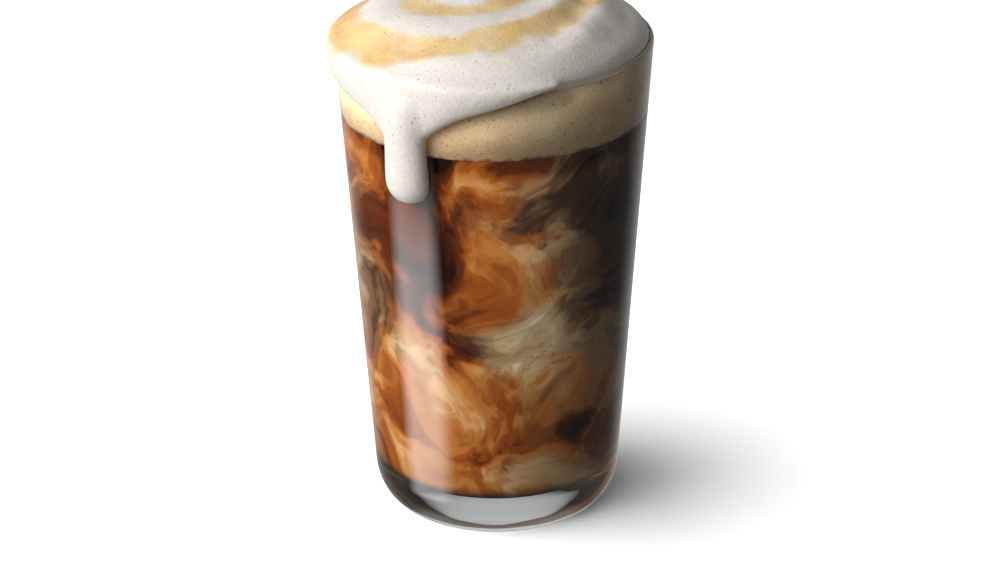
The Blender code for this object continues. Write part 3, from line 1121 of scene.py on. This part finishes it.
drink_only = bpy.data.collections.new("drink_only")
for piece in (tumbler, coffee, band, cap):
    drink_only.objects.link(piece)
table_only = bpy.data.collections.new("table_only")
table_only.objects.link(floor)
softbox("key", -66, height=0.65, distance=0.95, size=(0.7, 0.7), watts=17.5, lit=drink_only)
softbox("front", -40, height=0.45, distance=1.1, size=(0.8, 0.5), watts=2.6, lit=drink_only)
softbox("over_table", -80, height=1.1, distance=0.55, size=(1.2, 1.2), watts=36.0, lit=table_only)

# %% [markdown]
# The wall mirrors one tall pale light on its left. A wall seen from above mirrors what is below
# it, so the card stands below the floor's level, where only mirror reflections can find it. Its
# glow fades towards its edges, as lit silk does.

# %% Mirrored card
CARD_HALF_WIDTH = 0.20
CARD_HALF_HEIGHT = 0.13
CARD_GLOW = 5.3
CARD_PLACE = place(-65, 0.40, -0.15)
CARD_FACES = Vector((0, 0, 0.05))

card_bm = bmesh.new()
bmesh.ops.create_grid(card_bm, x_segments=1, y_segments=1, size=1.0)
card_finish, tree, shader, where = new_material("lit_silk")
card_axes = add(tree, "ShaderNodeSeparateXYZ", {0: where})
across = add(tree, "ShaderNodeMath", {0: card_axes.outputs["X"]}, operation="ABSOLUTE")
along = add(tree, "ShaderNodeMath", {0: card_axes.outputs["Y"]}, operation="ABSOLUTE")
across_fade = add(
    tree,
    "ShaderNodeMapRange",
    {"Value": across.outputs[0], "From Min": 1.0, "From Max": 0.35},
    interpolation_type="SMOOTHSTEP",
)
along_fade = add(
    tree,
    "ShaderNodeMapRange",
    {"Value": along.outputs[0], "From Min": 1.0, "From Max": 0.3, "To Max": CARD_GLOW},
    interpolation_type="SMOOTHSTEP",
)
glow = add(
    tree, "ShaderNodeMath", {0: across_fade.outputs[0], 1: along_fade.outputs[0]}, operation="MULTIPLY"
)
shader.inputs["Base Color"].default_value = linear("#000000")
shader.inputs["Emission Color"].default_value = linear("#ffffff")
tree.links.new(glow.outputs[0], shader.inputs["Emission Strength"])
card = finish_mesh("card", card_bm, card_finish)
card.scale = (CARD_HALF_WIDTH, CARD_HALF_HEIGHT, 1.0)
card.location = CARD_PLACE
card.rotation_euler = (CARD_FACES - card.location).to_track_quat("Z", "Y").to_euler()
card.visible_camera = False
card.visible_diffuse = False
card.visible_transmission = False
print("card glows at", CARD_GLOW)

# %% [markdown]
# Glass shows its edges only against something of another tone, so the world isn't one even grey.
# It is dim all round, paler behind, which gives the clear base a pale middle and dark edges, with
# a narrow strip at each side for the thin bright lines in the glass, and a bright patch below.

# %% World and view
WORLD_DIM = 0.12
WORLD_BACKDROP = 0.50
WORLD_STRIPS = 0.9
WORLD_BELOW = 0.9

world = bpy.data.worlds.new("studio")
bpy.context.scene.world = world
world.use_nodes = True
tree = world.node_tree
direction = add(tree, "ShaderNodeTexCoord").outputs["Generated"]
towards = add(tree, "ShaderNodeSeparateXYZ", {0: direction})
backdrop = add(
    tree,
    "ShaderNodeMapRange",
    {
        "Value": towards.outputs["Y"],
        "From Min": 0.45,
        "From Max": 0.9,
        "To Min": WORLD_DIM,
        "To Max": WORLD_BACKDROP,
    },
    interpolation_type="SMOOTHSTEP",
)
below = add(
    tree,
    "ShaderNodeMapRange",
    {"Value": towards.outputs["Z"], "From Min": -0.72, "From Max": -0.92, "To Max": WORLD_BELOW},
    interpolation_type="SMOOTHSTEP",
)
to_side = add(tree, "ShaderNodeMath", {0: towards.outputs["X"]}, operation="ABSOLUTE")
strips = add(
    tree,
    "ShaderNodeMapRange",
    {"Value": to_side.outputs[0], "From Min": 0.955, "From Max": 0.985, "To Max": WORLD_STRIPS},
    interpolation_type="SMOOTHSTEP",
)
all_round = add(tree, "ShaderNodeMath", {0: backdrop.outputs[0], 1: strips.outputs[0]}, operation="ADD")
strength = add(tree, "ShaderNodeMath", {0: all_round.outputs[0], 1: below.outputs[0]}, operation="ADD")
tree.links.new(strength.outputs[0], tree.nodes["Background"].inputs["Strength"])
tree.nodes["Background"].inputs["Color"].default_value = linear("#ffffff")
bpy.context.scene.view_settings.view_transform = "Standard"
print("world light from", WORLD_DIM, "to", WORLD_BACKDROP, "behind")
